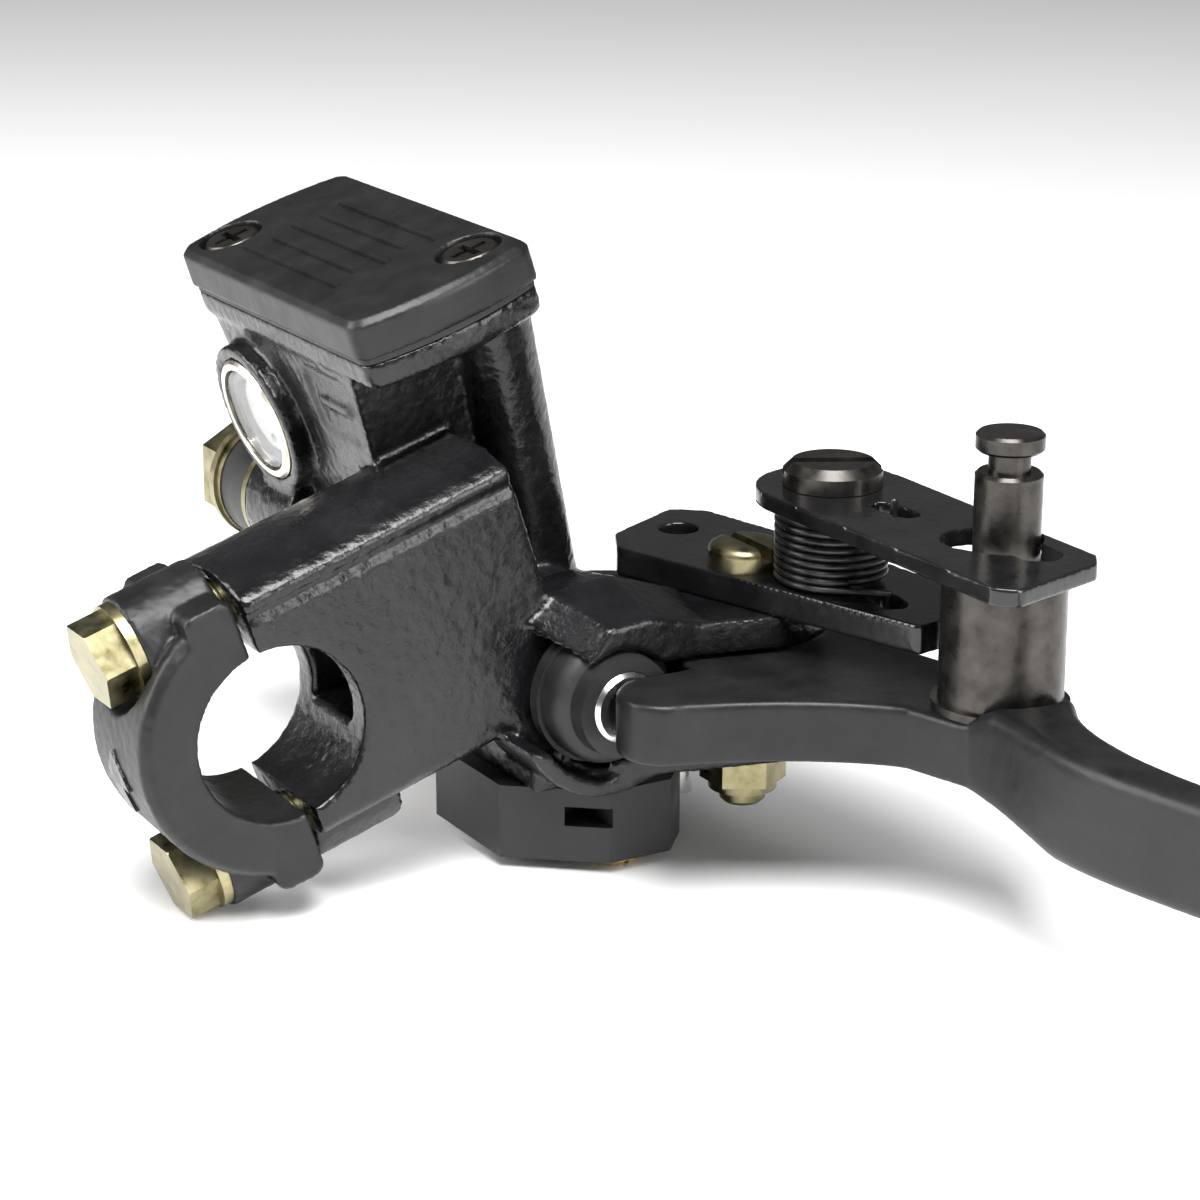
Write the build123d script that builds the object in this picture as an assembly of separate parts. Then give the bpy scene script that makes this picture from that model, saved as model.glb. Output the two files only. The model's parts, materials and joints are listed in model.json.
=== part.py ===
from build123d import *
from math import acos, atan2, cos, degrees, hypot, pi, radians, sin
import os

os.makedirs("parts", exist_ok=True)

# Right-hand hydraulic brake master cylinder for a 22 mm handlebar, with a lever-lock pin.
# Frame: origin on the handlebar axis at mid-clamp, +X outboard, +Y forward, +Z up.
# The casting leans back by LEAN about X; the lever, ears and lock parts stay square to Z.
LEAN = 18.0
CLEAR = 0.05          # radial running clearance of round fits

# Handlebar clamp (leaned frame: Y along the clamp bolts, Z across them)
BAR_R = 11.1
CLAMP_W = 19.5
CLAMP_R = 18.4
CLAMP_GAP = 0.6       # half the split gap
BOLT_Z = 15.3         # clamp bolts above and below the bar
BOLT_R = 3.0
BOLT_SEAT_Y = -11.5   # under the bolt flanges
BLOCK_Y = 38.6
BLOCK_BOTTOM, BLOCK_TOP = -15.5, 20.2

# Hydraulic bore, along X
BORE_Y, BORE_Z = 42.0, -0.7
BORE_R = 6.35
BORE_IN, BORE_OUT = -42.0, 11.5
BARREL_R = 11.5
LIP_R, SEAT_R, MOUTH_X = 12.8, 9.2, 16.5
PISTON_END = 20.5

# Reservoir (leaned frame)
RES_FLOOR, RES_RIM, COVER_TOP = 12.5, 36.4, 42.4
RES_X0, RES_X1, RES_Y0, RES_Y1 = -45.4, 5.6, 26.2, 52.2
GASKET = 0.8
COVER_SCREWS = [(-41.6, 32.5), (-0.6, 46.6)]
# Pillars outside the box below the cover screws: top X and Y limits, corner round, foot X limits, foot Z
SCREW_PILLARS = [
    (-12.0, 4.2, 42.4, 51.6, 4.0, -18.0, -6.6, -13.0),
    (-45.6, -36.0, 28.6, 36.4, 3.0, -42.8, -35.0, 16.0),
]
SIGHT_X, SIGHT_Z, SIGHT_Y = -34.2, 20.4, 24.8
SIGHT_R = 8.5
PORTS = (-24.8, -14.5)

# Hose outlet, along -X on the inboard side (leaned frame place)
OUT_Y, OUT_Z, OUT_FACE = 30.5, 3.9, -43.6
BANJO_R = 5.0
WASHER_T, SPACER_T = 1.2, 7.0

# Lever, in world XY
PIVOT = (11.0, 65.0)
NOSE = (26.6, 43.2)
NOSE_R = 5.8
LEVER_LOW, LEVER_HIGH = -4.7, 3.3
BLADE_LOW, BLADE_HIGH = -7.9, 6.1
HUB_R = 9.0
SQUEEZE = 16.0        # degrees of lever travel
EAR_R = 10.8
EAR_GAP = 0.6
UPPER_EAR_TOP, LOWER_EAR_LOW = 8.2, -11.6

# Lever lock
PLATE_TOP = 12.0
LATCH = (21.8, 70.8)
LATCH_LOW, LATCH_HIGH = 22.3, 24.5
LATCH_RATIO = 1.05    # latch plate turn per lever turn
PIN = (51.25, 75.9)
PIN_R, GROOVE_R, PIN_TOP = 4.1, 2.55, 37.5
PIN_TRAVEL = 9.5
TUBE_R, TUBE_TOP = 7.65, 20.8
SPRING_R, WIRE_R = 6.8, 0.48
LOW_LEG = (32.6, 72.4)
HIGH_LEG = (34.9, 71.0)

# Brake light switch under the bore
SWITCH_LOW, SWITCH_SPLIT, SWITCH_TOP = -23.4, -18.6, -13.6
FINGER = (3.5, 60.0)
FINGER_R = 1.6
SWITCH_SCREW = (10.0, 46.0)
BLADE_Y = (38.5, 46.5)


def lean(shape):
    """Turn a shape from the leaned casting frame into the world frame."""
    return Rotation(LEAN, 0, 0) * shape


def slab(x0, x1, y0, y1, z0, z1):
    return Pos((x0 + x1) / 2, (y0 + y1) / 2, (z0 + z1) / 2) * Box(x1 - x0, y1 - y0, z1 - z0)


def rod_x(radius, x0, x1, y, z):
    return Pos((x0 + x1) / 2, y, z) * Rotation(0, 90, 0) * Cylinder(radius, x1 - x0)


def rod_y(radius, y0, y1, x, z):
    return Pos(x, (y0 + y1) / 2, z) * Rotation(90, 0, 0) * Cylinder(radius, y1 - y0)


def rod_z(radius, z0, z1, x, y):
    return Pos(x, y, (z0 + z1) / 2) * Cylinder(radius, z1 - z0)


def bore_rod(radius, x0, x1):
    return rod_x(radius, x0, x1, BORE_Y, BORE_Z)


def hull_plate(circles, z0, z1):
    """A plate whose outline wraps round circles given as (x, y, radius)."""
    edges = []
    for x, y, radius in circles:
        edges += (Pos(x, y) * Circle(radius)).edges()
    return Pos(0, 0, z0) * extrude(make_hull(edges), z1 - z0)


def hexagon_x(across, x0, x1, y, z):
    face = RegularPolygon(across / 2, 6, major_radius=False)
    return Pos(x0, y, z) * Rotation(0, 90, 0) * extrude(face, x1 - x0)


def wire_between(start, end, radius):
    """A straight round wire with ball ends."""
    gap = Vector(*end) - Vector(*start)
    plane = Plane(origin=start, z_dir=gap)
    ends = Pos(*start) * Sphere(radius) + Pos(*end) * Sphere(radius)
    return plane * Pos(0, 0, gap.length / 2) * Cylinder(radius, gap.length) + ends


def coil(radius, wire, pitch, height, lefthand=False):
    path = Helix(pitch, height, radius, lefthand=lefthand)
    return sweep(Plane(origin=path @ 0, z_dir=path % 0) * Circle(wire), path, is_frenet=True)


def squeezed(point, angle, centre=PIVOT):
    """A point of the lever after it turns by angle degrees towards the grip."""
    a = radians(-angle)
    x, y = point[0] - centre[0], point[1] - centre[1]
    return (centre[0] + x * cos(a) - y * sin(a), centre[1] + x * sin(a) + y * cos(a))


def cover_outline(grow=0.0):
    """Cover outline: straight long sides, short sides bowed outward."""
    x0, x1, y0, y1 = RES_X0 - grow, RES_X1 + grow, RES_Y0 - grow, RES_Y1 + grow
    middle = (y0 + y1) / 2
    outline = Line((x0, y0), (x1, y0)) + ThreePointArc((x1, y0), (x1 + 2.2, middle), (x1, y1))
    outline += Line((x1, y1), (x0, y1)) + ThreePointArc((x0, y1), (x0 - 2.2, middle), (x0, y0))
    face = make_face(outline)
    return fillet(face.vertices(), 2.6 + grow)


def outlet_centre():
    """World Y and Z of the hose outlet axis."""
    a = radians(LEAN)
    return OUT_Y * cos(a) - OUT_Z * sin(a), OUT_Y * sin(a) + OUT_Z * cos(a)


def ear(z0, z1):
    return hull_plate([(*PIVOT, EAR_R), (-3, 47, 7), (10, 45, 7)], z0, z1)


def finger_slot():
    """Arc slot in the lower ear that the switch finger moves in."""
    stops = [squeezed(FINGER, SQUEEZE * step / 3) for step in range(4)]
    return hull_plate([(x, y, FINGER_R + 0.7) for x, y in stops], LOWER_EAR_LOW - 1, LEVER_LOW)


def clamp_block():
    """Leaned block that holds the fixed half of the clamp and runs on to the bore."""
    half = CLAMP_W / 2
    shoulder = BLOCK_TOP - 1.6
    outline = Polyline((-half, BLOCK_BOTTOM), (half, BLOCK_BOTTOM), (half, 14.9), (half - 0.7, 15.4), (half - 0.7, 16.2))
    outline += Polyline((half - 0.7, 16.2), (half, 16.7), (half, shoulder - 0.9), (half - 1.2, shoulder))
    outline += ThreePointArc((half - 1.2, shoulder), (0, BLOCK_TOP), (-half, shoulder - 0.6))
    outline += Line((-half, shoulder - 0.6), (-half, BLOCK_BOTTOM))
    face = Plane(origin=(0, CLAMP_GAP, 0), x_dir=(1, 0, 0), z_dir=(0, -1, 0)) * make_face(outline)
    block = extrude(face, CLAMP_GAP - BLOCK_Y)
    block = fillet(block.edges().filter_by(Axis.Y).group_by(Axis.Z)[0], 2.4)
    block += rod_y(6.3, CLAMP_GAP, 13, 0, -BOLT_Z)
    return block


def casting_wall(x0, x1, y0, y1, z, corner):
    """Plan of the reservoir box at a height, with a large round at its outboard far corner."""
    face = Pos(0, 0, z) * make_face(Polyline((x0, y0), (x1, y0), (x1, y1), (x0, y1), close=True))
    far = face.vertices().sort_by(lambda v: v.X + v.Y)[-1]
    face = fillet(far, corner)
    return fillet([v for v in face.vertices() if v.Y < y0 + 0.1 or v.X < x0 + 0.1], 2.2)


def reservoir_shell():
    """Leaned reservoir box with its rim, before it is hollowed."""
    low = casting_wall(-41.0, -14.4, 28.6, 50.8, -13.0, 8.0)
    high = casting_wall(-44.2, -3.6, 27.2, 51.2, 33.6, 8.0)
    shell = loft([low, high])
    rim = Pos(0, 0, 32.8) * extrude(cover_outline(-0.5), RES_RIM - 32.8)
    shell += fillet(rim.edges().group_by(Axis.Z)[0], 1.0)
    pad_low = Pos(0, 0, 14.0) * make_face(Polyline((-12, 28.0), (-6.7, 28.0), (-6.7, 42.4), (-12, 42.4), close=True))
    pad_high = Pos(0, 0, 35.6) * make_face(Polyline((-12, 27.0), (-1.4, 27.0), (-1.4, 42.4), (-12, 42.4), close=True))
    shell += loft([pad_low, pad_high])
    for x0, x1, y0, y1, round_, x2, x3, z in SCREW_PILLARS:
        top = Pos((x0 + x1) / 2, (y0 + y1) / 2, 34.0) * RectangleRounded(x1 - x0, y1 - y0, round_)
        foot = Pos((x2 + x3) / 2, (y0 + y1) / 2, z) * RectangleRounded(x3 - x2, y1 - y0 - 0.8, round_)
        shell += loft([foot, top])
    boss = rod_y(10.4, SIGHT_Y, 31, SIGHT_X, SIGHT_Z)
    return shell + boss


def label_panel():
    """Shallow panel beside the sight glass, with a raised level mark."""
    panel = Plane(origin=(-11.6, 26.0, 26.6), x_dir=(1, 0, 0), z_dir=(0, 1, 0)) * RectangleRounded(13.0, 9.4, 2.0)
    hollow = extrude(panel, 2.0)
    return hollow - slab(-16, -7.6, 26.0, 29, 25.9, 27.1)


def reservoir_cavity():
    """Leaned hollow of the reservoir, sight-glass pocket and drillings."""
    centre_y = (RES_Y0 + RES_Y1) / 2
    low = Pos(-24.5, centre_y + 1, RES_FLOOR) * RectangleRounded(26, 16.5, 3)
    high = Pos(-23.5, centre_y, RES_RIM) * RectangleRounded(36, 20, 3)
    hollow = loft([low, high])
    for x, y in COVER_SCREWS:
        hollow -= rod_z(4.2, RES_FLOOR - 1, RES_RIM + 1, x, y)
        hollow += rod_z(1.95 + CLEAR, RES_RIM - 10, RES_RIM + 1, x, y)
    hollow += rod_y(SIGHT_R + CLEAR, SIGHT_Y - 1, SIGHT_Y + 3.2, SIGHT_X, SIGHT_Z)
    hollow += rod_y(5.2, SIGHT_Y, centre_y, SIGHT_X, SIGHT_Z)
    for x in PORTS:
        hollow += rod_z(1.1, -13.6, RES_FLOOR + 1, x, 39.7)
    return hollow


def bore_section(points, x):
    """A face square to the bore, from points given about the bore axis."""
    world = [(BORE_Y + y, BORE_Z + z) for y, z in points]
    return Plane(origin=(x, 0, 0), x_dir=(0, 1, 0), z_dir=(1, 0, 0)) * make_face(Polyline(*world, close=True))


def mouth_shroud():
    """Seat of the boot, with a hood above it and a curved lip below."""
    inner = [(-9.2, 9.7), (-5.0, 12.9), (4.0, 13.6), (14.0, 10.4), (14.0, 4.6), (0.0, 4.6)]
    outer = [(-4.7, 5.9), (-1.8, 10.0), (4.0, 10.6), (12.0, 8.9), (12.0, 4.6), (0.0, 4.6)]
    hood = loft([bore_section(inner, 9.0), bore_section(outer, 19.2)])
    hood += loft([bore_section(inner, 9.0), bore_section([(y * 0.8, z * 0.9) for y, z in inner], 0.0)])
    lip = bore_rod(LIP_R, 4, MOUTH_X + 0.4) - bore_rod(10.6, 9.4, 30)
    keep = [(-14.0, -4.6), (-9.0, -5.6), (0, -9.0), (13.5, -4.9), (13.5, -16.0), (-14.0, -16.0)]
    lip &= extrude(bore_section(keep, 4.0), 16)
    seat = bore_rod(10.9, 5, 9.6)
    return hood + lip + seat


def cylinder_body():
    """Casting: clamp half, reservoir, bore, lever ears and outlet boss in one piece."""
    out_y, out_z = outlet_centre()
    body = lean(clamp_block() + reservoir_shell())
    body += bore_rod(BARREL_R, BORE_IN - 3.5, 9)
    body += mouth_shroud()
    body += ear(LEVER_HIGH + EAR_GAP, UPPER_EAR_TOP)
    body += ear(LOWER_EAR_LOW, LEVER_LOW - EAR_GAP)
    body += rod_x(8.4, OUT_FACE, OUT_FACE + 14, out_y, out_z)
    body += slab(-9, 11, 34, 50, SWITCH_TOP, -8)
    # Room for the lever between the ears
    body -= slab(-12, 40, 52.5, 90, LEVER_LOW - EAR_GAP, LEVER_HIGH + EAR_GAP)
    body -= hull_plate([(*PIVOT, HUB_R + 1.2), (*NOSE, 8), (18, 44, 8)], LEVER_LOW - EAR_GAP, LEVER_HIGH + EAR_GAP)
    body -= lean(label_panel())
    body -= lean(reservoir_cavity())
    body -= rod_x(BAR_R, -20, 20, 0, 0)
    body -= lean(slab(-5.5, 5.5, 6, 15.5, -5, 5))
    for side in (-1, 1):
        body -= lean(rod_y(BOLT_R + CLEAR, -1, 16, 0, side * BOLT_Z))
    body -= bore_rod(BORE_R, BORE_IN, BORE_OUT + 1)
    body -= bore_rod(SEAT_R, BORE_OUT, MOUTH_X - 0.4)
    body -= bore_rod(SEAT_R - 0.9, BORE_OUT, MOUTH_X + 1.1)
    body -= bore_rod(SEAT_R - 2.1, BORE_OUT, MOUTH_X + 10)
    body -= bore_rod(7.3, 9.4, 10.5)
    body -= rod_x(BANJO_R + CLEAR, OUT_FACE - 1, OUT_FACE + 11, out_y, out_z)
    gap = Vector(0, BORE_Y - out_y, BORE_Z - out_z)
    drilling = Plane(origin=(OUT_FACE + 6, out_y, out_z), z_dir=gap)
    body -= drilling * Pos(0, 0, gap.length / 2) * Cylinder(1.5, gap.length)
    body -= rod_z(BOLT_R + CLEAR, -30, 30, *PIVOT)
    body -= finger_slot()
    body -= rod_z(1.65, -20, -9, *SWITCH_SCREW)
    return body


def clamp_cap():
    """Rider-side half of the handlebar clamp."""
    half = CLAMP_W / 2
    rim = Polyline((-half, 0), (-half, CLAMP_R - 2.6), (3.2 - half, CLAMP_R - 0.3), (half - 1.2, CLAMP_R))
    rim += Polyline((half - 1.2, CLAMP_R), (half, CLAMP_R - 1.0), (half, 0), (-half, 0))
    cap = revolve(make_face(rim), Axis.X, 360)
    cap &= slab(-half, half, -CLAMP_R, -CLAMP_GAP, -CLAMP_R, CLAMP_R)
    for side in (-1, 1):
        boss = rod_y(6.6, BOLT_SEAT_Y, -CLAMP_GAP, 0, side * BOLT_Z)
        reach = BLOCK_TOP - 0.8
        shoulder = slab(-half, half, -7.0, -CLAMP_GAP, min(0, side * reach), max(0, side * reach))
        cap += boss + fillet(shoulder.edges().filter_by(Axis.X), 1.5)
    cap -= rod_x(BAR_R, -20, 20, 0, 0)
    for side in (-1, 1):
        cap -= rod_y(BOLT_R + 0.25, -30, 1, 0, side * BOLT_Z)
        cap -= rod_y(6.9, -30, BOLT_SEAT_Y, 0, side * BOLT_Z)
    return lean(cap)


def clamp_bolts():
    """Two M6 flange-head clamp bolts."""
    bolts = []
    for side in (-1, 1):
        z = side * BOLT_Z
        head = rod_y(6.1, BOLT_SEAT_Y - 1.3, BOLT_SEAT_Y, 0, z)
        face = RegularPolygon(4.9, 6, major_radius=False)
        prism = Pos(0, BOLT_SEAT_Y - 1.2, z) * Rotation(90, 0, 0) * extrude(face, 4.2)
        dome = Pos(0, BOLT_SEAT_Y - 5.4, z) * Rotation(90, 0, 0) * Cone(6.5, 4.5, 2.5)
        head += prism & (dome + rod_y(7, BOLT_SEAT_Y - 4.2, BOLT_SEAT_Y, 0, z))
        bolts.append(lean(head + rod_y(BOLT_R, BOLT_SEAT_Y - 0.1, 14, 0, z)))
    return Compound(bolts)


def reservoir_cover():
    base = RES_RIM + GASKET
    cover = Pos(0, 0, base) * extrude(cover_outline(), COVER_TOP - base)
    cover = chamfer(cover.edges().group_by(Axis.Z)[-1], 0.9)
    centre_y = (RES_Y0 + RES_Y1) / 2
    recess = Pos(-20.5, centre_y, base) * extrude(RectangleRounded(34, 19, 3), 2.4)
    cover -= recess - sum((rod_z(4.4, base - 1, base + 4, x, y) for x, y in COVER_SCREWS), Part())
    for x, y in COVER_SCREWS:
        cover -= rod_z(2.15, base - 1, COVER_TOP + 1, x, y)
        cover -= rod_z(4.3, COVER_TOP - 2.0, COVER_TOP + 1, x, y)
    return lean(cover)


def cover_screws():
    """Two M4 cross-head screws in the cover's round recesses."""
    screws = []
    for x, y in COVER_SCREWS:
        screw = rod_z(3.8, COVER_TOP - 2.0, COVER_TOP - 0.3, x, y)
        screw = chamfer(screw.edges().group_by(Axis.Z)[-1], 0.5)
        screw += rod_z(1.95, RES_RIM - 9, COVER_TOP - 1.9, x, y)
        cross = slab(x - 2.4, x + 2.4, y - 0.5, y + 0.5, COVER_TOP - 1.5, COVER_TOP)
        screw -= cross + Pos(x, y) * Rotation(0, 0, 90) * Pos(-x, -y) * cross
        screws.append(lean(screw))
    return Compound(screws)


def reservoir_diaphragm():
    """Rubber diaphragm: a flange under the cover and a bellows hanging in the reservoir."""
    centre_y = (RES_Y0 + RES_Y1) / 2
    flange = Pos(0, 0, RES_RIM + 0.02) * extrude(cover_outline(-0.5), GASKET - 0.04)
    outer = Pos(-22.5, centre_y, RES_RIM - 8) * extrude(RectangleRounded(27, 16, 3), 8.3)
    inner = Pos(-22.5, centre_y, RES_RIM - 7) * extrude(RectangleRounded(25, 14, 2.2), 9)
    rubber = flange + outer - inner
    for x, y in COVER_SCREWS:
        rubber -= rod_z(2.2, RES_RIM - 1, RES_RIM + 2, x, y)
    return lean(rubber)


def port_baffle():
    """Slotted splash plate over the drillings in the reservoir floor."""
    plate = slab(-27.5, -12.6, 36.2, 42.2, RES_FLOOR + 1.2, RES_FLOOR + 2.0)
    feet = slab(-27.5, -26.7, 36.2, 42.2, RES_FLOOR, RES_FLOOR + 1.3)
    feet += slab(-13.4, -12.6, 36.2, 42.2, RES_FLOOR, RES_FLOOR + 1.3)
    slot = slab(-22.5, -17.5, 37.4, 38.2, RES_FLOOR, RES_FLOOR + 3)
    return lean(plate + feet - slot)


def sight_ring():
    ring = rod_y(SIGHT_R, SIGHT_Y - 0.3, SIGHT_Y + 1.9, SIGHT_X, SIGHT_Z)
    ring = chamfer(ring.edges().group_by(Axis.Y)[0], 0.4)
    return lean(ring - rod_y(7.25, SIGHT_Y - 2, SIGHT_Y + 4, SIGHT_X, SIGHT_Z))


def sight_lens():
    lens = rod_y(7.2, SIGHT_Y, SIGHT_Y + 1.9, SIGHT_X, SIGHT_Z)
    return lean(chamfer(lens.edges().group_by(Axis.Y)[0], 0.35))


def sight_seal():
    seal = rod_y(SIGHT_R - 0.1, SIGHT_Y + 1.95, SIGHT_Y + 3.15, SIGHT_X, SIGHT_Z)
    return lean(seal - rod_y(5.6, SIGHT_Y, SIGHT_Y + 5, SIGHT_X, SIGHT_Z))


def sight_reflector():
    """Pale disc behind the glass that shows the fluid level."""
    disc = rod_y(5.1, SIGHT_Y + 3.0, SIGHT_Y + 3.7, SIGHT_X, SIGHT_Z)
    return lean(disc - rod_y(0.7, SIGHT_Y, SIGHT_Y + 6, SIGHT_X, SIGHT_Z - 3.5))


def outlet_ring(radius, inner, far_x, near_x):
    out_y, out_z = outlet_centre()
    return rod_x(radius, far_x, near_x, out_y, out_z) - rod_x(inner, far_x - 1, near_x + 1, out_y, out_z)


def outlet_washers():
    """Two crush washers, one each side of the hose eye's place."""
    first = outlet_ring(8.2, BANJO_R + 0.1, OUT_FACE - WASHER_T, OUT_FACE)
    second_face = OUT_FACE - WASHER_T - SPACER_T
    second = outlet_ring(8.2, BANJO_R + 0.1, second_face - WASHER_T, second_face)
    return Compound([first, second])


def outlet_spacer():
    return outlet_ring(8.0, BANJO_R + 0.1, OUT_FACE - WASHER_T - SPACER_T, OUT_FACE - WASHER_T)


def banjo_bolt():
    """M10 hollow hose bolt with cross holes."""
    out_y, out_z = outlet_centre()
    face = OUT_FACE - 2 * WASHER_T - SPACER_T
    bolt = rod_x(8.6, face - 1.4, face, out_y, out_z)
    bolt += hexagon_x(14.0, face - 7.0, face - 1.3, out_y, out_z)
    bolt += rod_x(BANJO_R, face - 0.1, OUT_FACE + 10, out_y, out_z)
    bolt -= rod_x(1.5, OUT_FACE - 6.5, OUT_FACE + 11, out_y, out_z)
    bolt -= rod_z(1.2, out_z - 6, out_z + 6, OUT_FACE - WASHER_T - SPACER_T / 2, out_y)
    return bolt


def piston():
    shape = bore_rod(3.0, -24, -19.9) + bore_rod(BORE_R - CLEAR, -20, -17) + bore_rod(4.6, -17.1, PISTON_END)
    shape += bore_rod(BORE_R - CLEAR, 4, 8.2)
    shape = chamfer(shape.edges().filter_by(GeomType.CIRCLE).sort_by(Axis.X)[-1], 0.5)
    return shape - bore_rod(3.1, PISTON_END - 1.0, PISTON_END + 1)


def cup(x0, x1, inner):
    """Rubber cup seal whose lip opens towards the pressure side."""
    shape = bore_rod(BORE_R - CLEAR, x0, x1) - bore_rod(inner, x0 - 1, x1 + 1)
    groove = bore_rod(BORE_R - 1.1, x0, x0 + 1.4) - bore_rod(inner + 0.9, x0, x0 + 1.4)
    return shape - groove


def return_spring():
    spring = coil(4.5, 0.5, 2.9, 17.4)
    return Pos(BORE_IN + 0.6, BORE_Y, BORE_Z) * Rotation(0, 90, 0) * spring


def stop_washer():
    return bore_rod(BORE_R - CLEAR, 8.35, 9.3) - bore_rod(4.75, 8, 10)


def retaining_ring():
    ring = bore_rod(7.2, 9.45, 10.4) - bore_rod(5.4, 9, 11)
    return ring - slab(9, 11, BORE_Y - 1.6, BORE_Y + 1.6, BORE_Z - 8, BORE_Z)


def dust_boot():
    """Rubber boot: seated bead, straight sleeve, rounded shoulder and a lip on the piston."""
    outside = Polyline((11.6, 9.1), (13.4, 9.1), (13.4, 8.5), (15.6, 8.5))
    outside += ThreePointArc((15.6, 8.5), (17.0, 7.9), (17.7, 6.8))
    outside += Polyline((17.7, 6.8), (20.0, 6.5), (20.0, 4.68), (17.2, 4.68), (17.2, 6.0), (15.4, 7.2))
    outside += Polyline((15.4, 7.2), (11.6, 7.2), (11.6, 9.1))
    section = make_face(outside)
    return Pos(0, BORE_Y, BORE_Z) * revolve(section, Axis.X, 360)


def lever_arm():
    """Flat arm: hub, piston nose and the seat of the lock pin."""
    arm = hull_plate([(*PIVOT, HUB_R), (*NOSE, NOSE_R)], LEVER_LOW, LEVER_HIGH)
    arm += hull_plate([(*PIVOT, HUB_R), (51.5, 75.6, 8.6)], LEVER_LOW, LEVER_HIGH)
    rear = Spline((32.0, 41.5), (40.4, 58.5), (47.0, 65.6), (57.0, 68.2), tangents=[(0.35, 1), (1, 0.05)])
    web = make_face(rear + Polyline((57.0, 68.2), (55, 76), (20, 66), (24, 46), (32.0, 41.5)))
    arm += Pos(0, 0, LEVER_LOW) * extrude(web, LEVER_HIGH - LEVER_LOW)
    arm = fillet(arm.edges().group_by(Axis.Z)[-1] + arm.edges().group_by(Axis.Z)[0], 0.7)
    return arm


def lever_blade():
    """Finger blade with a flattened ball end."""
    rear = Spline((50, 67.3), (60, 68.2), (74, 67.2), (92, 69.6), (118, 74.0), (146, 73.6), (172, 66.0),
                  tangents=[(1, 0.15), (1, -0.42)])
    front = Spline((174, 71.6), (147, 79.6), (118, 80.2), (92, 76.2), (76, 75.2), (64, 78.2), (55, 83.0),
                   tangents=[(-1, 0.42), (-1, 0.35)])
    outline = rear + Line((172, 66.0), (174, 71.6)) + front + Line((55, 83.0), (50, 67.3))
    blade = Pos(0, 0, BLADE_LOW) * extrude(make_face(outline), BLADE_HIGH - BLADE_LOW)
    blade -= Plane(origin=(50, 0, LEVER_HIGH), z_dir=(-0.32, 0, 1)) * Pos(0, 70, 20) * Box(200, 60, 40) & slab(40, 62, 50, 100, 0, 30)
    blade -= Plane(origin=(50, 0, LEVER_LOW), z_dir=(0.14, 0, 1)) * Pos(0, 70, -10) * Box(56, 60, 20)
    return blade


def lever():
    blade = fillet(lever_blade().edges().filter_by(Axis.Z, reverse=True), 2.0)
    ball = Pos(175, 67.6, (BLADE_LOW + BLADE_HIGH) / 2) * Cylinder(8.2, BLADE_HIGH - BLADE_LOW)
    ball = fillet(ball.edges().filter_by(GeomType.CIRCLE), 4.5)
    shape = lever_arm() + blade + ball
    shape -= rod_z(5.0, -20, 20, *PIVOT)
    shape -= rod_z(3.0, -20, 20, *PIN)
    shape -= rod_z(FINGER_R + CLEAR, LEVER_LOW - 3, LEVER_LOW + 3, *FINGER)
    shape -= rod_z(TUBE_R + 1.1, LEVER_HIGH, 30, *PIN)
    return shape - bore_rod(SEAT_R + 0.5, 0, NOSE[0] - NOSE_R)


def pivot_bush():
    return rod_z(4.95, LEVER_LOW, LEVER_HIGH, *PIVOT) - rod_z(BOLT_R + CLEAR, -20, 20, *PIVOT)


def pivot_bolt():
    """M6 lever pivot with a slotted pan head over the base plate."""
    head = rod_z(4.95, PLATE_TOP, PLATE_TOP + 3.2, *PIVOT)
    head = fillet(head.edges().group_by(Axis.Z)[-1], 1.3)
    head -= slab(PIVOT[0] - 6, PIVOT[0] + 6, PIVOT[1] - 0.8, PIVOT[1] + 0.8, PLATE_TOP + 1.4, PLATE_TOP + 4)
    shank = rod_z(BOLT_R, LOWER_EAR_LOW - 8.6, PLATE_TOP + 0.1, *PIVOT)
    return head + chamfer(shank.edges().group_by(Axis.Z)[0], 0.5)


def pivot_nut():
    """M6 locking nut with a flange and a round locking collar."""
    x, y = PIVOT
    nut = rod_z(6.2, LOWER_EAR_LOW - 1.2, LOWER_EAR_LOW, x, y)
    hexagon = extrude(RegularPolygon(4.9, 6, major_radius=False), -4.4)
    nut += Pos(x, y, LOWER_EAR_LOW - 1.0) * hexagon
    nut += rod_z(4.5, LOWER_EAR_LOW - 6.6, LOWER_EAR_LOW - 5.0, x, y)
    return nut - rod_z(BOLT_R + CLEAR, -40, 0, x, y)


def switch_finger():
    """Steel finger pressed into the lever that works the switch plunger."""
    return rod_z(FINGER_R, -20.4, LEVER_LOW + 2.9, *FINGER)


def latch_base_plate():
    """Punched plate bolted over the upper ear."""
    corners = [(-3.8, 54.5), (43.5, 69.6), (43.5, 77.5), (38.5, 83.5), (20.0, 81.3), (-12.5, 74.0), (-16.0, 70.0), (-9.5, 57.5)]
    plate = make_face(Polyline(*corners, close=True))
    plate = fillet(plate.vertices(), 1.8)
    solid = Pos(0, 0, UPPER_EAR_TOP) * extrude(plate, PLATE_TOP - UPPER_EAR_TOP)
    for step in range(5):
        x, y = squeezed(PIN, SQUEEZE * step / 4)
        solid -= rod_z(TUBE_R + 1.6, 0, 30, x, y)
    solid -= rod_z(BOLT_R + CLEAR, 0, 30, *PIVOT)
    solid -= rod_z(BOLT_R + CLEAR, 0, 30, *LATCH)
    solid -= rod_z(2.65, 0, 30, -7.2, 66.0)
    x, y = LOW_LEG
    return solid - hull_plate([(x - 1.6, y, 1.7), (x + 1.8, y - 0.6, 1.7)], 0, 30)


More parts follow.
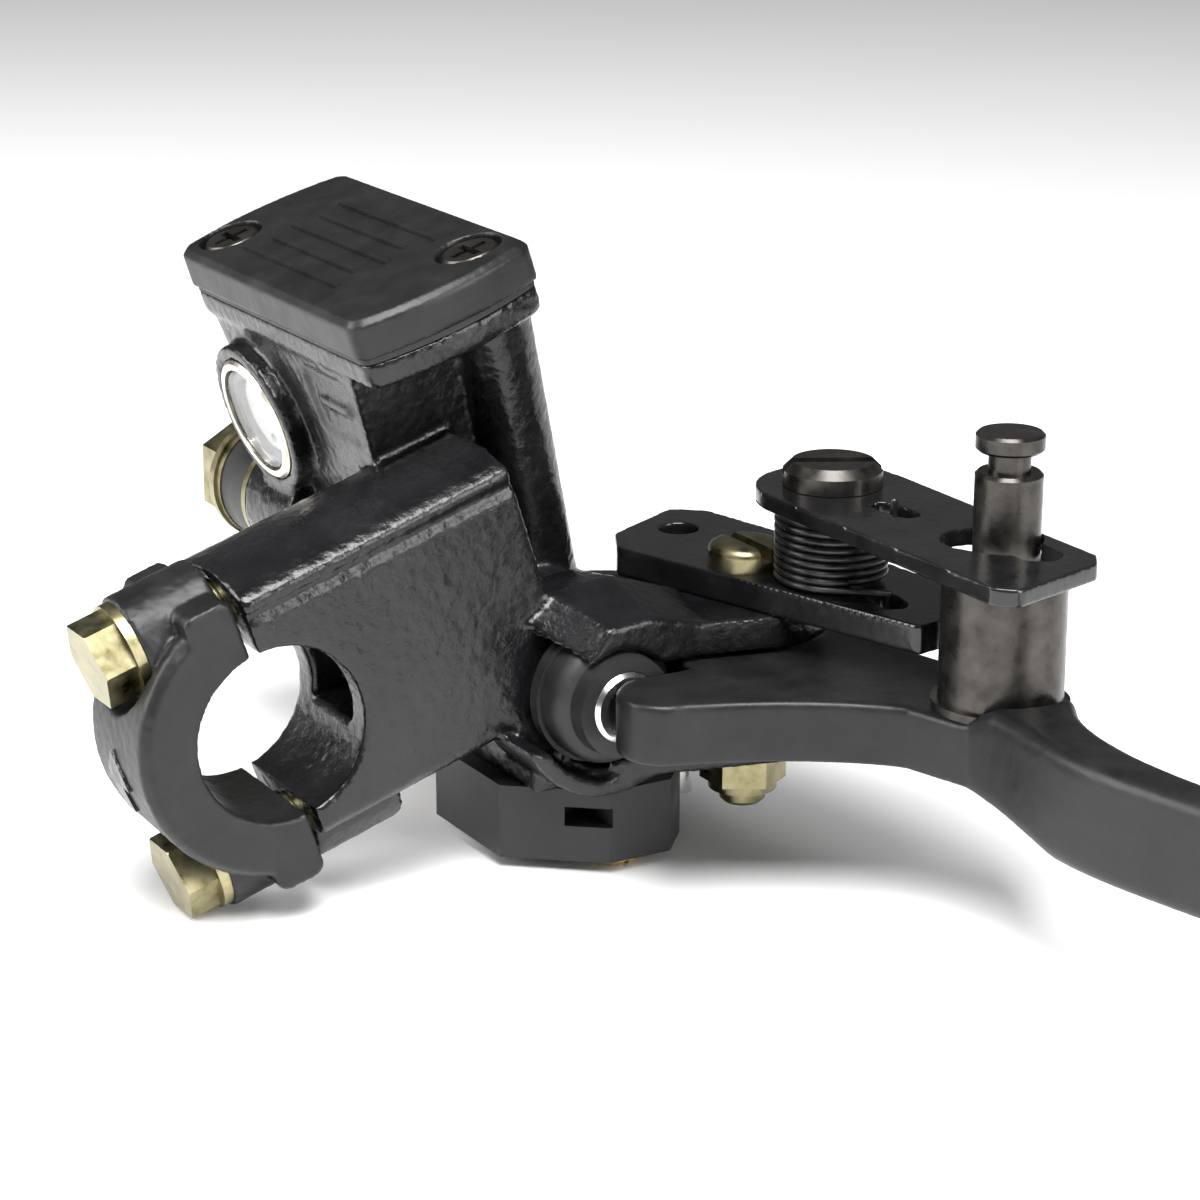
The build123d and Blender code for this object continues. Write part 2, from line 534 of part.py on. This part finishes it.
def latch_screw():
    """Slotted shoulder screw that the latch plate swings on."""
    head = rod_z(6.3, LATCH_HIGH + 0.1, LATCH_HIGH + 3.2, *LATCH)
    head = chamfer(head.edges().group_by(Axis.Z)[-1], 1.1)
    x, y = LATCH
    slot = slab(-7, 7, -1.0, 1.0, LATCH_HIGH + 1.5, LATCH_HIGH + 6)
    head -= Pos(x, y) * Rotation(0, 0, 62) * slot
    return head + rod_z(BOLT_R, UPPER_EAR_TOP + 0.1, LATCH_HIGH + 0.2, x, y)


def latch_spacer():
    return rod_z(5.3, PLATE_TOP, LATCH_LOW - 0.1, *LATCH) - rod_z(BOLT_R + CLEAR, 0, 40, *LATCH)


def tangent_angle(leg, side):
    """Angle round the latch screw where a leg leaves the coil."""
    x, y = leg[0] - LATCH[0], leg[1] - LATCH[1]
    return atan2(y, x) + side * acos(SPRING_R / hypot(x, y))


def torsion_spring():
    """Close coil with one leg hooked in the base plate and one in the latch plate."""
    z0, z1 = PLATE_TOP + 0.7, LATCH_LOW - 0.75
    start = tangent_angle(LOW_LEG, -1)
    end = tangent_angle(HIGH_LEG, 1)
    turns = (18 * pi - (end - start)) / (2 * pi)
    spring = coil(SPRING_R, WIRE_R, (z1 - z0) / turns, z1 - z0, lefthand=True)
    spring = Pos(*LATCH, z0) * Rotation(0, 0, degrees(start)) * spring
    low = (LATCH[0] + SPRING_R * cos(start), LATCH[1] + SPRING_R * sin(start), z0)
    high = (LATCH[0] + SPRING_R * cos(end), LATCH[1] + SPRING_R * sin(end), z1)
    spring += wire_between(low, (*LOW_LEG, z0), WIRE_R)
    spring += wire_between((*LOW_LEG, z0), (*LOW_LEG, UPPER_EAR_TOP + 1.2), WIRE_R)
    spring += wire_between(high, (*HIGH_LEG, z1), WIRE_R)
    return spring + wire_between((*HIGH_LEG, z1), (*HIGH_LEG, LATCH_HIGH + 1.0), WIRE_R)


def pin_in_latch(step):
    """Where the lock pin stands in the latch plate at a share of the lever's travel."""
    x, y = squeezed(PIN, SQUEEZE * step)
    return squeezed((x, y), -SQUEEZE * step * LATCH_RATIO, LATCH)


def latch_plate():
    """Slotted plate that catches the groove of the pressed pin."""
    corners = [(21.8, 61.1), (66.8, 62.2), (69.2, 64.4), (65.2, 78.6), (62.5, 80.6), (21.8, 80.5)]
    plate = make_face(Polyline(*corners, close=True))
    plate = fillet(plate.vertices().sort_by(Axis.X)[2:], 1.6)
    plate += Pos(*LATCH) * Circle(9.7)
    solid = Pos(0, 0, LATCH_LOW) * extrude(plate, LATCH_HIGH - LATCH_LOW)
    solid -= rod_z(BOLT_R + CLEAR, 0, 40, *LATCH)
    low, high = LATCH_LOW - 1, LATCH_HIGH + 1
    wide = [(*pin_in_latch(step / 4), PIN_R + 0.35) for step in range(5)]
    solid -= hull_plate(wide + [(50.4, 72.2, PIN_R + 0.35)], low, high)
    solid -= hull_plate([(PIN[0], PIN[1] - 1, GROOVE_R + 0.3), (PIN[0] + 7.5, PIN[1] - 1, GROOVE_R + 0.3)], low, high)
    x, y = HIGH_LEG
    return solid - hull_plate([(x - 2.2, y - 0.2, 1.5), (x + 2.6, y + 0.2, 1.5)], low, high)


def pin_tube():
    """Tube on the lever that guides the lock pin."""
    base = LEVER_HIGH + 1.0
    tube = rod_z(TUBE_R, base, TUBE_TOP, *PIN)
    tube = chamfer(tube.edges().group_by(Axis.Z)[-1], 0.5)
    tube -= rod_z(5.5, base + 0.6, 17.6, *PIN)
    tube -= rod_z(PIN_R + CLEAR, 17, 30, *PIN)
    return tube - rod_z(2.6, 0, 10, *PIN)


def tube_washer():
    base = LEVER_HIGH
    return rod_z(TUBE_R + 0.8, base, base + 1.0, *PIN) - rod_z(3.0, 0, 10, *PIN)


def lock_pin():
    """Push pin with a grooved neck, a retaining collar and a spring spindle."""
    x, y = PIN
    pin = rod_z(PIN_R + 0.05, PIN_TOP - 2.3, PIN_TOP, x, y)
    pin = chamfer(pin.edges().filter_by(GeomType.CIRCLE), 0.35)
    pin += rod_z(GROOVE_R, PIN_TOP - 5.0, PIN_TOP - 2.2, x, y)
    body = rod_z(PIN_R, 16.8, PIN_TOP - 4.8, x, y)
    pin += chamfer(body.edges().group_by(Axis.Z)[-1], 0.4)
    pin += rod_z(5.3, 16.8, 17.5, x, y)
    return pin + rod_z(2.4, 5.4, 17.0, x, y)


def pin_spring():
    base = LEVER_HIGH + 1.0 + 0.6
    return Pos(*PIN, base + 0.45) * coil(3.9, 0.38, 2.8, 11.0)


def switch_outline():
    corners = [(-14, 34.5), (-11.5, 31.5), (6, 31.5), (15, 42.5), (15, 51.5), (10, 56), (-8, 56), (-14, 50.5)]
    return make_face(Polyline(*corners, close=True))


def switch_hollow():
    return slab(-8, 6.5, 37, 53, SWITCH_LOW + 1.6, SWITCH_TOP - 1.6)


def switch_plunger_hole(radius):
    return rod_y(radius, 50, 60, FINGER[0], -18.6)


def blade_slots():
    slots = [slab(-15, -6, y - 0.1, y + 4.9, -19.05, -18.15) for y in BLADE_Y]
    return slots[0] + slots[1]


def switch_case_lower():
    case = Pos(0, 0, SWITCH_LOW) * extrude(switch_outline(), SWITCH_SPLIT - SWITCH_LOW)
    case -= switch_hollow() + switch_plunger_hole(1.35)
    case -= blade_slots()
    return case - rod_z(1.7, -30, 0, *SWITCH_SCREW)


def switch_case_upper():
    case = Pos(0, 0, SWITCH_SPLIT) * extrude(switch_outline(), SWITCH_TOP - SWITCH_SPLIT)
    case -= switch_hollow() + switch_plunger_hole(1.35)
    case -= blade_slots()
    case -= slab(7.5, 16, 38, 43, SWITCH_SPLIT - 1, SWITCH_SPLIT + 2.6)
    case -= bore_rod(LIP_R + 0.1, 3.5, 30)
    return case - rod_z(1.7, -30, 0, *SWITCH_SCREW)


def switch_plunger():
    tip = FINGER[1] - FINGER_R - 0.15
    plunger = rod_y(1.3, 50.0, tip, FINGER[0], -18.6)
    return plunger + slab(FINGER[0] - 2.4, FINGER[0] + 2.4, 49.0, 50.4, -20.2, -17.0)


def switch_spring():
    return Pos(FINGER[0], 48.6, -18.6) * Rotation(90, 0, 0) * coil(1.5, 0.22, 1.5, 9.0)


def switch_contacts():
    """Two brass blades from inside the case to the inboard terminals."""
    return Compound([slab(-20.5, -5, y, y + 4.8, -19.0, -18.2) for y in BLADE_Y])


def switch_screw():
    x, y = SWITCH_SCREW
    head = rod_z(3.4, SWITCH_LOW - 1.6, SWITCH_LOW, x, y)
    head = fillet(head.edges().group_by(Axis.Z)[0], 0.8)
    head -= slab(x - 4, x + 4, y - 0.4, y + 0.4, SWITCH_LOW - 2, SWITCH_LOW - 0.8)
    return head + rod_z(1.6, SWITCH_LOW - 0.1, SWITCH_TOP + 2.5, x, y)


parts = {
    "cylinder_body": cylinder_body(),
    "clamp_cap": clamp_cap(),
    "clamp_bolts": clamp_bolts(),
    "reservoir_cover": reservoir_cover(),
    "cover_screws": cover_screws(),
    "reservoir_diaphragm": reservoir_diaphragm(),
    "port_baffle": port_baffle(),
    "sight_glass_ring": sight_ring(),
    "sight_glass_lens": sight_lens(),
    "sight_glass_seal": sight_seal(),
    "sight_glass_reflector": sight_reflector(),
    "outlet_washers": outlet_washers(),
    "outlet_spacer": outlet_spacer(),
    "banjo_bolt": banjo_bolt(),
    "piston": piston(),
    "primary_cup": cup(-23.6, -20.05, 3.05),
    "secondary_cup": cup(-0.9, 3.9, 4.65),
    "return_spring": return_spring(),
    "stop_washer": stop_washer(),
    "retaining_ring": retaining_ring(),
    "dust_boot": dust_boot(),
    "brake_lever": lever(),
    "pivot_bush": pivot_bush(),
    "pivot_bolt": pivot_bolt(),
    "pivot_nut": pivot_nut(),
    "switch_finger": switch_finger(),
    "latch_base_plate": latch_base_plate(),
    "latch_screw": latch_screw(),
    "latch_spacer": latch_spacer(),
    "torsion_spring": torsion_spring(),
    "latch_plate": latch_plate(),
    "pin_tube": pin_tube(),
    "tube_washer": tube_washer(),
    "lock_pin": lock_pin(),
    "pin_spring": pin_spring(),
    "switch_case_lower": switch_case_lower(),
    "switch_case_upper": switch_case_upper(),
    "switch_plunger": switch_plunger(),
    "switch_spring": switch_spring(),
    "switch_contacts": switch_contacts(),
    "switch_screw": switch_screw(),
}
for name, shape in parts.items():
    export_step(shape, f"parts/{name}.step")
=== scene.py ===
import json
import math

import bmesh
import bpy
from mathutils import Matrix, Vector, noise
from mathutils.bvhtree import BVHTree

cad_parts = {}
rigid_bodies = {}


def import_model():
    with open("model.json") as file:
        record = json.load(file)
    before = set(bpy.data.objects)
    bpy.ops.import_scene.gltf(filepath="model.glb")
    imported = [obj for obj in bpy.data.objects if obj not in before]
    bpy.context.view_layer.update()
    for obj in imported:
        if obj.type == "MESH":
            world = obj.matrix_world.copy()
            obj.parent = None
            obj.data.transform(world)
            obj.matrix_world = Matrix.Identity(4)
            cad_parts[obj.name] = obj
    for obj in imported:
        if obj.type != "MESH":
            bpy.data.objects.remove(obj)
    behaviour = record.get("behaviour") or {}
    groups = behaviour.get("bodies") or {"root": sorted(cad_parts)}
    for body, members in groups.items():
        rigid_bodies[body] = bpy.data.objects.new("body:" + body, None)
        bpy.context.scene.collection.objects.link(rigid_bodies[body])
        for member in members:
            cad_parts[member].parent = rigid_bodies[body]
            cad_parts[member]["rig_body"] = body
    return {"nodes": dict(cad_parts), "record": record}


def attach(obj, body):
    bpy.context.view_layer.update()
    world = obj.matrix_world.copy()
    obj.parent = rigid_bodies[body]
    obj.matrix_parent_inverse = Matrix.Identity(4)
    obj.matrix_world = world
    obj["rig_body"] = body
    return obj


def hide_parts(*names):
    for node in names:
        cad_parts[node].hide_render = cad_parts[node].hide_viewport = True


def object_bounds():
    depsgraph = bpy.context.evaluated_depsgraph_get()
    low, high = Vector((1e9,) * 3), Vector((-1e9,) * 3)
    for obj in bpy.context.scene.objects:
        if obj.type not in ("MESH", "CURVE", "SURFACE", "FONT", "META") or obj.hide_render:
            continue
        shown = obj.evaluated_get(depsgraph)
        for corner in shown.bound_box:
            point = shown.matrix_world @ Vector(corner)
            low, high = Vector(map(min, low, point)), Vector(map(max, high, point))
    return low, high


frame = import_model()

CAD_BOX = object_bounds()
NODES = frame["nodes"]
MM = 0.001
LEAN = math.radians(18)      # the casting leans back about X
LEAN_TURN = Matrix.Rotation(LEAN, 3, "X")
COVER_TOP = 42.4             # height of the cover's top in the leaned frame, mm
COVER_BARS = 5
BAR_X0, BAR_X1 = -34.5, -7.5  # the long bars' ends in the leaned frame, mm
BAR_Y0, BAR_PITCH = 31.5, 3.6
BAR_WIDTH, BAR_HEIGHT, BAR_SUNK = 1.1, 0.5, 0.15
ARROW_HEIGHT = 0.45
ARROW = [(0.0, 4.2), (3.4, -0.4), (1.3, -0.4), (1.3, -4.2), (-1.3, -4.2), (-1.3, -0.4), (-3.4, -0.4)]
WORLD_STRENGTH = 0.12


# ---------------------------------------------------------------- materials

def new_material(name):
    material = bpy.data.materials.new(name)
    material.use_nodes = True
    tree = material.node_tree
    return material, tree, tree.nodes["Principled BSDF"]


def texture(tree, scale, detail=4.0):
    """A noise texture in object space."""
    coords = tree.nodes.new("ShaderNodeTexCoord")
    node = tree.nodes.new("ShaderNodeTexNoise")
    node.inputs["Scale"].default_value = scale
    node.inputs["Detail"].default_value = detail
    tree.links.new(coords.outputs["Object"], node.inputs["Vector"])
    return node.outputs["Fac"]


def ramp(tree, source, stops):
    node = tree.nodes.new("ShaderNodeValToRGB")
    while len(node.color_ramp.elements) < len(stops):
        node.color_ramp.elements.new(0.5)
    for element, (place, colour) in zip(node.color_ramp.elements, stops):
        element.position = place
        element.color = (*colour, 1)
    tree.links.new(source, node.inputs["Fac"])
    return node.outputs["Color"]


def span(tree, source, low, high, from_low=0.0, from_high=1.0):
    node = tree.nodes.new("ShaderNodeMapRange")
    node.inputs["From Min"].default_value = from_low
    node.inputs["From Max"].default_value = from_high
    node.inputs["To Min"].default_value = low
    node.inputs["To Max"].default_value = high
    tree.links.new(source, node.inputs["Value"])
    return node.outputs["Result"]


def bump(tree, shader, source, strength, distance, after=None):
    node = tree.nodes.new("ShaderNodeBump")
    node.inputs["Strength"].default_value = strength
    node.inputs["Distance"].default_value = distance
    tree.links.new(source, node.inputs["Height"])
    if after is not None:
        tree.links.new(after, node.inputs["Normal"])
    tree.links.new(node.outputs["Normal"], shader.inputs["Normal"])
    return node.outputs["Normal"]


def surface(name, stops, mottle, rough, metallic=0.0, coat=0.0, grains=(), ior=1.42):
    """Mottled colour and roughness with layers of grain, each (scale, strength, height in metres)."""
    material, tree, shader = new_material(name)
    shader.inputs["Metallic"].default_value = metallic
    shader.inputs["Coat Weight"].default_value = coat
    shader.inputs["Coat Roughness"].default_value = 0.12
    shader.inputs["IOR"].default_value = ior
    patch = texture(tree, mottle, 5.0)
    tree.links.new(ramp(tree, patch, stops), shader.inputs["Base Color"])
    tree.links.new(span(tree, patch, *rough, 0.3, 0.7), shader.inputs["Roughness"])
    normal = None
    for scale, strength, height in grains:
        normal = bump(tree, shader, texture(tree, scale, 3.0), strength, height, normal)
    return material


def make_materials():
    made = {}
    made["cast_paint"] = surface(
        "cast_paint", [(0.3, (0.003, 0.003, 0.0035)), (0.7, (0.008, 0.008, 0.009))], 160, (0.22, 0.34),
        coat=0.2, grains=[(620, 0.5, 0.0004), (1900, 0.35, 0.00018)], ior=1.38)
    made["satin_paint"] = surface(
        "satin_paint", [(0.3, (0.006, 0.006, 0.0065)), (0.7, (0.012, 0.012, 0.0125))], 220, (0.34, 0.44),
        grains=[(2600, 0.12, 0.00012), (300, 0.05, 0.0003)], ior=1.38)
    made["plate_paint"] = surface(
        "plate_paint", [(0.3, (0.004, 0.004, 0.0045)), (0.7, (0.009, 0.009, 0.0095))], 200, (0.17, 0.28),
        coat=0.3, grains=[(420, 0.08, 0.0003), (2400, 0.06, 0.0001)])
    made["olive_zinc"] = surface(
        "olive_zinc", [(0.25, (0.16, 0.14, 0.06)), (0.5, (0.30, 0.27, 0.15)), (0.75, (0.42, 0.37, 0.24))], 420,
        (0.24, 0.42), metallic=1.0, grains=[(900, 0.12, 0.0002)])
    made["black_oxide"] = surface(
        "black_oxide", [(0.3, (0.035, 0.032, 0.030)), (0.7, (0.085, 0.078, 0.070))], 340, (0.22, 0.40),
        metallic=0.9, grains=[(1100, 0.10, 0.0002)])
    made["spring_steel"] = surface(
        "spring_steel", [(0.3, (0.03, 0.03, 0.032)), (0.7, (0.07, 0.07, 0.072))], 500, (0.26, 0.38),
        metallic=0.8, grains=[(1500, 0.08, 0.0001)])
    made["bare_steel"] = surface(
        "bare_steel", [(0.3, (0.55, 0.55, 0.55)), (0.7, (0.78, 0.78, 0.77))], 420, (0.18, 0.30),
        metallic=1.0, grains=[(1400, 0.06, 0.0001)])
    made["ring_silver"] = surface(
        "ring_silver", [(0.3, (0.62, 0.57, 0.46)), (0.7, (0.86, 0.81, 0.71))], 300, (0.2, 0.32),
        metallic=1.0, grains=[(1600, 0.05, 0.0001)])
    made["brass"] = surface(
        "brass", [(0.3, (0.60, 0.42, 0.14)), (0.7, (0.85, 0.66, 0.30))], 400, (0.2, 0.34),
        metallic=1.0, grains=[(1200, 0.06, 0.0001)])
    made["rubber"] = surface(
        "rubber", [(0.3, (0.010, 0.010, 0.010)), (0.7, (0.018, 0.018, 0.018))], 260, (0.42, 0.56),
        grains=[(1600, 0.08, 0.0001)])
    made["black_plastic"] = surface(
        "black_plastic", [(0.3, (0.012, 0.012, 0.012)), (0.7, (0.020, 0.020, 0.020))], 300, (0.40, 0.55),
        grains=[(1500, 0.12, 0.00012)])
    made["white_plastic"] = surface(
        "white_plastic", [(0.3, (0.72, 0.72, 0.70)), (0.7, (0.84, 0.84, 0.82))], 180, (0.3, 0.42),
        grains=[(900, 0.05, 0.0001)])
    made["sight_glass"] = glass_material()
    return made


def glass_material():
    material, tree, shader = new_material("sight_glass")
    shader.inputs["Transmission Weight"].default_value = 1.0
    shader.inputs["IOR"].default_value = 1.45
    haze = texture(tree, 260, 4.0)
    tree.links.new(ramp(tree, haze, [(0.3, (0.86, 0.88, 0.87)), (0.7, (0.95, 0.96, 0.95))]),
                   shader.inputs["Base Color"])
    tree.links.new(span(tree, haze, 0.02, 0.10), shader.inputs["Roughness"])
    return material


MATERIALS = make_materials()


def dress(obj, slot):
    obj.data.materials.clear()
    obj.data.materials.append(MATERIALS[slot])


def shade_by_angle(obj, degrees=32):
    """Smooth shading with sharp creases, kept in the mesh."""
    mesh = obj.data
    mesh.shade_smooth()
    work = bmesh.new()
    work.from_mesh(mesh)
    limit = math.radians(degrees)
    for edge in work.edges:
        edge.smooth = edge.is_manifold and edge.calc_face_angle(0.0) < limit
    work.to_mesh(mesh)
    work.free()


def dress_frame():
    slot_of = {row["node"]: row["material_slot"] for row in frame["record"]["subparts"]}
    for name, obj in NODES.items():
        dress(obj, slot_of[name])
    return slot_of


SLOT_OF = dress_frame()


# ---------------------------------------------------------------- softened castings

def softened(node, name, voxel, rounds, grain=0.02):
    """A copy of a CAD piece with its edges rounded as casting and paint leave them; it stands for that piece."""
    obj = bpy.data.objects.new(name, NODES[node].data.copy())
    bpy.context.scene.collection.objects.link(obj)
    remesh = obj.modifiers.new("remesh", "REMESH")
    remesh.mode = "VOXEL"
    remesh.voxel_size = voxel * MM
    smooth = obj.modifiers.new("smooth", "SMOOTH")
    smooth.factor = 0.5
    smooth.iterations = rounds
    depsgraph = bpy.context.evaluated_depsgraph_get()
    mesh = bpy.data.meshes.new_from_object(obj.evaluated_get(depsgraph))
    obj.modifiers.clear()
    obj.data = mesh
    # Read before any point moves, because each move makes Blender work every normal out again
    normals = [vertex.normal.copy() for vertex in mesh.vertices]
    for vertex, normal in zip(mesh.vertices, normals):
        lump = noise.noise(vertex.co * 900) + 0.6 * noise.noise(vertex.co * 1900)
        vertex.co += normal * lump * grain * MM
    mesh.shade_smooth()
    obj.data.materials.clear()
    obj.data.materials.append(MATERIALS[SLOT_OF[node]])
    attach(obj, NODES[node]["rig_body"])
    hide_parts(node)
    return obj


softened("cylinder_body", "casting_skin", 0.45, 5, 0.07)
CLAMP_SKIN = softened("clamp_cap", "clamp_cap_skin", 0.35, 4, 0.06)
softened("brake_lever", "lever_skin", 0.45, 5)
softened("reservoir_cover", "cover_skin", 0.3, 3)
softened("latch_plate", "latch_plate_skin", 0.25, 3)
softened("latch_base_plate", "base_plate_skin", 0.3, 3)


# ---------------------------------------------------------------- small raised details

def leaned(x, y, z):
    """A point of the casting's own leaned frame, in millimetres, as a place in metres."""
    return LEAN_TURN @ (Vector((x, y, z)) * MM)


def new_piece(name, mesh, body, slot):
    obj = bpy.data.objects.new(name, mesh)
    bpy.context.scene.collection.objects.link(obj)
    dress(obj, slot)
    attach(obj, body)
    return obj


def raised_bar(name, x0, x1, y, width, base, height, body, slot):
    """A low rounded bar along X standing on a level face of the leaned casting."""
    work = bmesh.new()
    bmesh.ops.create_cube(work, size=1.0)
    for vertex in work.verts:
        side = vertex.co.copy()
        vertex.co = leaned((x0 + x1) / 2 + side.x * (x1 - x0), y + side.y * width,
                           base + (side.z + 0.5) * height)
    bmesh.ops.bevel(work, geom=work.edges[:], offset=min(width, height) * 0.3 * MM, segments=2, affect="EDGES")
    mesh = bpy.data.meshes.new(name)
    work.to_mesh(mesh)
    work.free()
    obj = new_piece(name, mesh, body, slot)
    shade_by_angle(obj)
    return obj


def wrapped_shape(name, outline, skin, height, body, slot):
    """A flat outline of (x, z) points laid on a skin's -Y side in the leaned frame, raised by a height."""
    tree = BVHTree.FromObject(skin, bpy.context.evaluated_depsgraph_get())
    toward = LEAN_TURN @ Vector((0, 1, 0))
    work = bmesh.new()
    low, high = [], []
    for x, z in outline:
        hit = tree.ray_cast(leaned(x, -60, z), toward)[0]
        low.append(work.verts.new(hit + toward * 0.3 * MM))
        high.append(work.verts.new(hit - toward * height * MM))
    count = len(outline)
    work.faces.new(high)
    work.faces.new(list(reversed(low)))
    for i in range(count):
        j = (i + 1) % count
        work.faces.new((low[i], low[j], high[j], high[i]))
    bmesh.ops.recalc_face_normals(work, faces=work.faces[:])
    bmesh.ops.triangulate(work, faces=[face for face in work.faces if len(face.verts) > 4])
    mesh = bpy.data.meshes.new(name)
    work.to_mesh(mesh)
    work.free()
    return new_piece(name, mesh, body, slot)


for row in range(COVER_BARS):
    indent = row % 2         # every other bar is shorter, as lines of varied length
    raised_bar("cover_bar_%d" % (row + 1), BAR_X0 + 1.5 * indent, BAR_X1 - 2.0 * indent,
               BAR_Y0 + BAR_PITCH * row, BAR_WIDTH, COVER_TOP - BAR_SUNK, BAR_HEIGHT, "housing", "satin_paint")
wrapped_shape("clamp_arrow", ARROW, CLAMP_SKIN, ARROW_HEIGHT, "housing", "cast_paint")


# ---------------------------------------------------------------- studio

def studio():
    low, _ = CAD_BOX
    floor_z = low[2]
    bpy.ops.mesh.primitive_plane_add(size=12, location=(0, 0, floor_z))
    floor = bpy.context.object
    floor.name = "floor"
    material, tree, shader = new_material("floor")
    tone = texture(tree, 6, 3.0)
    tree.links.new(ramp(tree, tone, [(0.3, (0.90, 0.90, 0.90)), (0.7, (0.93, 0.93, 0.93))]),
                   shader.inputs["Base Color"])
    shader.inputs["Roughness"].default_value = 0.6
    floor.data.materials.append(material)
    world = bpy.data.worlds.new("world")
    world.use_nodes = True
    world.node_tree.nodes["Background"].inputs["Color"].default_value = (1, 1, 1, 1)
    world.node_tree.nodes["Background"].inputs["Strength"].default_value = WORLD_STRENGTH
    bpy.context.scene.world = world


def area_light(name, place, target, size, power):
    light = bpy.data.lights.new(name, "AREA")
    light.shape = "RECTANGLE"
    light.size, light.size_y = size
    light.energy = power
    obj = bpy.data.objects.new(name, light)
    bpy.context.scene.collection.objects.link(obj)
    obj.location = place
    obj.rotation_euler = (Vector(target) - Vector(place)).to_track_quat("-Z", "Y").to_euler()


def camera():
    data = bpy.data.cameras.new("camera")
    data.sensor_width = 36
    data.lens = 102
    data.clip_start = 0.01
    obj = bpy.data.objects.new("camera", data)
    bpy.context.scene.collection.objects.link(obj)
    right = (0.503703, 0.863874, 0.002189)
    up = (-0.26391, 0.151465, 0.952581)
    back = (0.822578, -0.480396, 0.304278)
    turn = Matrix((right, up, back)).transposed().to_4x4()
    obj.matrix_world = Matrix.Translation((0.361871, -0.161575, 0.140417)) @ turn
    bpy.context.scene.camera = obj


studio()
area_light("key", (0.35, -0.15, 0.75), (0.03, 0.04, 0.0), (0.5, 0.5), 16)
area_light("left", (-0.35, -0.65, 0.35), (0, 0.03, 0.01), (0.5, 0.6), 8)
area_light("right", (0.75, 0.35, 0.35), (0.03, 0.04, 0.0), (0.4, 0.6), 6)
camera()
bpy.context.scene.view_settings.view_transform = "Standard"
